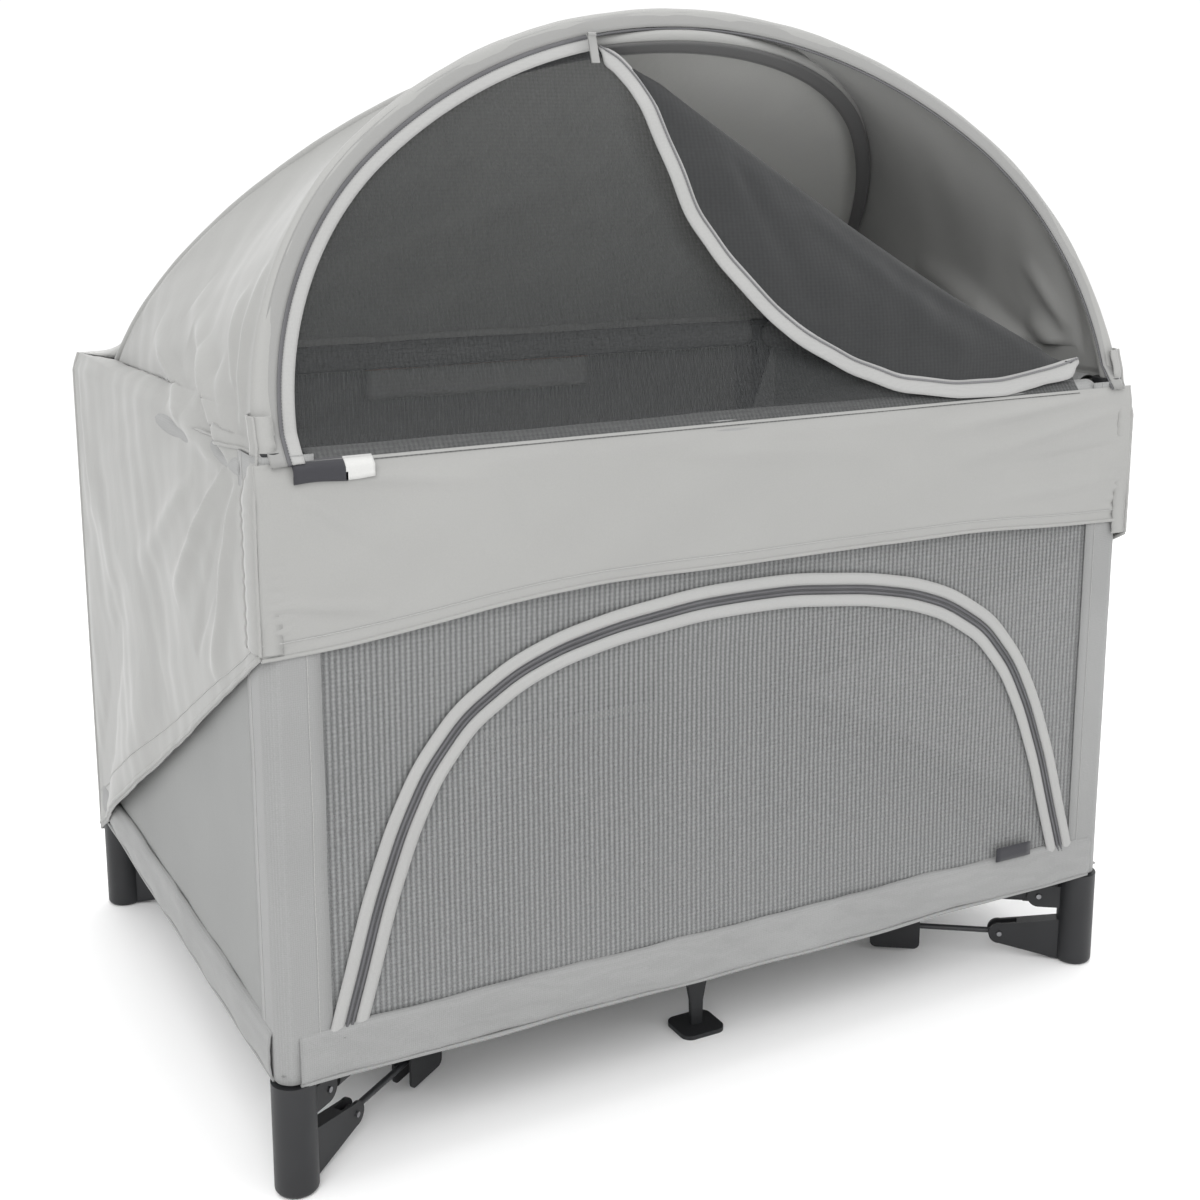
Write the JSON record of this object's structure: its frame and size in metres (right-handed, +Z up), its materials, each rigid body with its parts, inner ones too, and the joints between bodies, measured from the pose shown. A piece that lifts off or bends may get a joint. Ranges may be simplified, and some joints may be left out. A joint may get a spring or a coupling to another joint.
{
  "type": "playpen",
  "caption": "Folding playpen with mesh sides, padded floor, moulded feet on a hub-and-arm frame, and a zip-on tent canopy on two crossed hoops.",
  "frame": {"origin": "on the ground, in the middle of the footprint", "axes": "+X along the long front side, +Y from front to back, +Z up"},
  "size_m": [1.06, 0.778, 1.138],
  "materials": {
    "frame_plastic": "satin charcoal moulded plastic",
    "frame_tube": "dark grey powder coat",
    "link_rod": "satin",
    "screw_steel": "satin",
    "side_mesh": "open knitted mesh",
    "window_mesh": "fine dark insect mesh",
    "grey_cloth": "heathered woven polyester",
    "canopy_cloth": "smooth taffeta",
    "zip_tape": "woven tape",
    "zip_teeth": "nylon coil",
    "zip_tab": "satin",
    "label_cloth": "blank woven label",
    "hoop_pole": "glass fibre rod"
  },
  "bodies": {
    "leg_front_left": {"foot_front_left": "frame_plastic", "post_front_left": "frame_tube", "cap_front_left": "frame_plastic", "leg_pins_front_left": "screw_steel", "wall_front": "side_mesh"},
    "arm_front_left": {"arm_front_left": "frame_tube", "floor_front_left": "grey_cloth"},
    "rod_front_left": {"rod_front_left": "link_rod"},
    "rail_x_front_left": {"rail_x_front_left": "frame_tube"},
    "rail_y_front_left": {"rail_y_front_left": "frame_tube"},
    "leg_front_right": {"foot_front_right": "frame_plastic", "post_front_right": "frame_tube", "cap_front_right": "frame_plastic", "leg_pins_front_right": "screw_steel", "wall_right": "grey_cloth"},
    "arm_front_right": {"arm_front_right": "frame_tube", "floor_front_right": "grey_cloth"},
    "rod_front_right": {"rod_front_right": "link_rod"},
    "rail_x_front_right": {"rail_x_front_right": "frame_tube"},
    "rail_y_front_right": {"rail_y_front_right": "frame_tube"},
    "leg_back_left": {"foot_back_left": "frame_plastic", "post_back_left": "frame_tube", "cap_back_left": "frame_plastic", "leg_pins_back_left": "screw_steel", "wall_left": "grey_cloth"},
    "arm_back_left": {"arm_back_left": "frame_tube", "floor_back_left": "grey_cloth"},
    "rod_back_left": {"rod_back_left": "link_rod"},
    "rail_x_back_left": {"rail_x_back_left": "frame_tube"},
    "rail_y_back_left": {"rail_y_back_left": "frame_tube"},
    "leg_back_right": {"foot_back_right": "frame_plastic", "post_back_right": "frame_tube", "cap_back_right": "frame_plastic", "leg_pins_back_right": "screw_steel", "wall_back": "side_mesh"},
    "arm_back_right": {"arm_back_right": "frame_tube", "floor_back_right": "grey_cloth"},
    "rod_back_right": {"rod_back_right": "link_rod"},
    "rail_x_back_right": {"rail_x_back_right": "frame_tube"},
    "rail_y_back_right": {"rail_y_back_right": "frame_tube"},
    "hub": {"hub": "frame_plastic"},
    "mid_arm_front": {"mid_arm_front": "frame_tube"},
    "mid_foot_front": {"mid_foot_front": "frame_plastic"},
    "mid_arm_back": {"mid_arm_back": "frame_tube"},
    "mid_foot_back": {"mid_foot_back": "frame_plastic"},
    "latch_front": {"latch_front": "frame_plastic"},
    "latch_back": {"latch_back": "frame_plastic"},
    "latch_left": {"latch_left": "frame_plastic"},
    "latch_right": {"latch_right": "frame_plastic"},
    "mattress": {"mattress": "grey_cloth"},
    "canopy": {"hoop_front": "hoop_pole", "hoop_rear": "hoop_pole", "canopy_window": "window_mesh", "canopy_flap": "window_mesh", "canopy_gore_left": "canopy_cloth", "canopy_gore_right": "canopy_cloth", "canopy_rear": "canopy_cloth", "canopy_drapes": "canopy_cloth"},
    "zip_pull": {"zip_pull": "zip_tab"}
  },
  "joints": [
    {"name": "fold", "type": "hinge", "parent": "leg_front_left", "child": "arm_front_left", "pos_m": [-0.46768, -0.3371, 0.084], "axis": [0.5847, -0.8112, 0], "range_deg": [0, 84], "deforming": ["wall_front", "wall_back", "wall_left", "wall_right", "floor_front_left", "floor_front_right", "floor_back_left", "floor_back_right", "mattress"]},
    {"name": "hub_pivot", "type": "hinge", "parent": "arm_front_left", "child": "hub", "pos_m": [-0.05679, -0.04093, 0.084], "axis": [0.5847, -0.8112, 0], "range_deg": [-84, 0]},
    {"name": "rod_pivot_front_left", "type": "hinge", "parent": "leg_front_left", "child": "rod_front_left", "pos_m": [-0.43037, -0.31021, 0.031], "axis": [0.5847, -0.8112, 0], "range_deg": [0, 84]},
    {"name": "rail_pivot_x_front_left", "type": "hinge", "parent": "leg_front_left", "child": "rail_x_front_left", "pos_m": [-0.473, -0.364, 0.716], "axis": [0, 1, 0], "range_deg": [0, 84]},
    {"name": "rail_pivot_y_front_left", "type": "hinge", "parent": "leg_front_left", "child": "rail_y_front_left", "pos_m": [-0.505, -0.332, 0.716], "axis": [-1, 0, 0], "range_deg": [0, 84]},
    {"name": "arm_pivot_front_right", "type": "hinge", "parent": "hub", "child": "arm_front_right", "pos_m": [0.05679, -0.04093, 0.084], "axis": [0.5847, 0.8112, 0], "range_deg": [0, 84]},
    {"name": "leg_pivot_front_right", "type": "hinge", "parent": "arm_front_right", "child": "leg_front_right", "pos_m": [0.46768, -0.3371, 0.084], "axis": [0.5847, 0.8112, 0], "range_deg": [-84, 0]},
    {"name": "rod_pivot_front_right", "type": "hinge", "parent": "leg_front_right", "child": "rod_front_right", "pos_m": [0.43037, -0.31021, 0.031], "axis": [0.5847, 0.8112, 0], "range_deg": [0, 84]},
    {"name": "rail_pivot_x_front_right", "type": "hinge", "parent": "leg_front_right", "child": "rail_x_front_right", "pos_m": [0.473, -0.364, 0.716], "axis": [0, -1, 0], "range_deg": [0, 84]},
    {"name": "rail_pivot_y_front_right", "type": "hinge", "parent": "leg_front_right", "child": "rail_y_front_right", "pos_m": [0.505, -0.332, 0.716], "axis": [-1, 0, 0], "range_deg": [0, 84]},
    {"name": "arm_pivot_back_left", "type": "hinge", "parent": "hub", "child": "arm_back_left", "pos_m": [-0.05679, 0.04093, 0.084], "axis": [-0.5847, -0.8112, 0], "range_deg": [0, 84]},
    {"name": "leg_pivot_back_left", "type": "hinge", "parent": "arm_back_left", "child": "leg_back_left", "pos_m": [-0.46768, 0.3371, 0.084], "axis": [-0.5847, -0.8112, 0], "range_deg": [-84, 0]},
    {"name": "rod_pivot_back_left", "type": "hinge", "parent": "leg_back_left", "child": "rod_back_left", "pos_m": [-0.43037, 0.31021, 0.031], "axis": [-0.5847, -0.8112, 0], "range_deg": [0, 84]},
    {"name": "rail_pivot_x_back_left", "type": "hinge", "parent": "leg_back_left", "child": "rail_x_back_left", "pos_m": [-0.473, 0.364, 0.716], "axis": [0, 1, 0], "range_deg": [0, 84]},
    {"name": "rail_pivot_y_back_left", "type": "hinge", "parent": "leg_back_left", "child": "rail_y_back_left", "pos_m": [-0.505, 0.332, 0.716], "axis": [1, 0, 0], "range_deg": [0, 84]},
    {"name": "arm_pivot_back_right", "type": "hinge", "parent": "hub", "child": "arm_back_right", "pos_m": [0.05679, 0.04093, 0.084], "axis": [-0.5847, 0.8112, 0], "range_deg": [0, 84]},
    {"name": "leg_pivot_back_right", "type": "hinge", "parent": "arm_back_right", "child": "leg_back_right", "pos_m": [0.46768, 0.3371, 0.084], "axis": [-0.5847, 0.8112, 0], "range_deg": [-84, 0]},
    {"name": "rod_pivot_back_right", "type": "hinge", "parent": "leg_back_right", "child": "rod_back_right", "pos_m": [0.43037, 0.31021, 0.031], "axis": [-0.5847, 0.8112, 0], "range_deg": [0, 84]},
    {"name": "rail_pivot_x_back_right", "type": "hinge", "parent": "leg_back_right", "child": "rail_x_back_right", "pos_m": [0.473, 0.364, 0.716], "axis": [0, -1, 0], "range_deg": [0, 84]},
    {"name": "rail_pivot_y_back_right", "type": "hinge", "parent": "leg_back_right", "child": "rail_y_back_right", "pos_m": [0.505, 0.332, 0.716], "axis": [1, 0, 0], "range_deg": [0, 84]},
    {"name": "latch_pivot_front", "type": "hinge", "parent": "rail_x_front_left", "child": "latch_front", "pos_m": [-0.0621, -0.364, 0.716], "axis": [0, 1, 0], "range_deg": [-84, 0]},
    {"name": "latch_pivot_back", "type": "hinge", "parent": "rail_x_back_left", "child": "latch_back", "pos_m": [-0.0621, 0.364, 0.716], "axis": [0, 1, 0], "range_deg": [-84, 0]},
    {"name": "latch_pivot_left", "type": "hinge", "parent": "rail_y_front_left", "child": "latch_left", "pos_m": [-0.505, -0.03583, 0.716], "axis": [-1, 0, 0], "range_deg": [-84, 0]},
    {"name": "latch_pivot_right", "type": "hinge", "parent": "rail_y_front_right", "child": "latch_right", "pos_m": [0.505, -0.03583, 0.716], "axis": [-1, 0, 0], "range_deg": [-84, 0]},
    {"name": "mid_arm_pivot_front", "type": "hinge", "parent": "hub", "child": "mid_arm_front", "pos_m": [0, -0.04, 0.084], "axis": [1, 0, 0], "range_deg": [0, 84]},
    {"name": "mid_foot_pivot_front", "type": "hinge", "parent": "mid_arm_front", "child": "mid_foot_front", "pos_m": [0, -0.285, 0.084], "axis": [1, 0, 0], "range_deg": [-84, 0]},
    {"name": "mid_arm_pivot_back", "type": "hinge", "parent": "hub", "child": "mid_arm_back", "pos_m": [0, 0.04, 0.084], "axis": [-1, 0, 0], "range_deg": [0, 84]},
    {"name": "mid_foot_pivot_back", "type": "hinge", "parent": "mid_arm_back", "child": "mid_foot_back", "pos_m": [0, 0.285, 0.084], "axis": [-1, 0, 0], "range_deg": [-84, 0]},
    {"name": "canopy_lift", "type": "slide", "parent": "leg_front_left", "child": "canopy", "axis": [0, 0, 1], "range_m": [0, 0.63]},
    {"name": "mattress_lift", "type": "slide", "parent": "leg_front_left", "child": "mattress", "axis": [0, 0, 1], "range_m": [0, 0.63]},
    {"name": "pull_swing", "type": "hinge", "parent": "canopy", "child": "zip_pull", "pos_m": [-0.12, -0.25598, 1.11292], "axis": [-1, 0, 0], "range_deg": [0, 120]}
  ],
  "couplings": [
    {"joint": "hub_pivot", "follows": "fold", "ratio": -1},
    {"joint": "rod_pivot_front_left", "follows": "fold", "ratio": 1},
    {"joint": "rail_pivot_x_front_left", "follows": "fold", "ratio": 1},
    {"joint": "rail_pivot_y_front_left", "follows": "fold", "ratio": 1},
    {"joint": "arm_pivot_front_right", "follows": "fold", "ratio": 1},
    {"joint": "leg_pivot_front_right", "follows": "fold", "ratio": -1},
    {"joint": "rod_pivot_front_right", "follows": "fold", "ratio": 1},
    {"joint": "rail_pivot_x_front_right", "follows": "fold", "ratio": 1},
    {"joint": "rail_pivot_y_front_right", "follows": "fold", "ratio": 1},
    {"joint": "arm_pivot_back_left", "follows": "fold", "ratio": 1},
    {"joint": "leg_pivot_back_left", "follows": "fold", "ratio": -1},
    {"joint": "rod_pivot_back_left", "follows": "fold", "ratio": 1},
    {"joint": "rail_pivot_x_back_left", "follows": "fold", "ratio": 1},
    {"joint": "rail_pivot_y_back_left", "follows": "fold", "ratio": 1},
    {"joint": "arm_pivot_back_right", "follows": "fold", "ratio": 1},
    {"joint": "leg_pivot_back_right", "follows": "fold", "ratio": -1},
    {"joint": "rod_pivot_back_right", "follows": "fold", "ratio": 1},
    {"joint": "rail_pivot_x_back_right", "follows": "fold", "ratio": 1},
    {"joint": "rail_pivot_y_back_right", "follows": "fold", "ratio": 1},
    {"joint": "latch_pivot_front", "follows": "fold", "ratio": -1},
    {"joint": "latch_pivot_back", "follows": "fold", "ratio": -1},
    {"joint": "latch_pivot_left", "follows": "fold", "ratio": -1},
    {"joint": "latch_pivot_right", "follows": "fold", "ratio": -1},
    {"joint": "mid_arm_pivot_front", "follows": "fold", "ratio": 1},
    {"joint": "mid_foot_pivot_front", "follows": "fold", "ratio": -1},
    {"joint": "mid_arm_pivot_back", "follows": "fold", "ratio": 1},
    {"joint": "mid_foot_pivot_back", "follows": "fold", "ratio": -1},
    {"joint": "canopy_lift", "follows": "fold", "m_per_rad": 0.4296},
    {"joint": "mattress_lift", "follows": "fold", "m_per_rad": 0.4296}
  ]
}
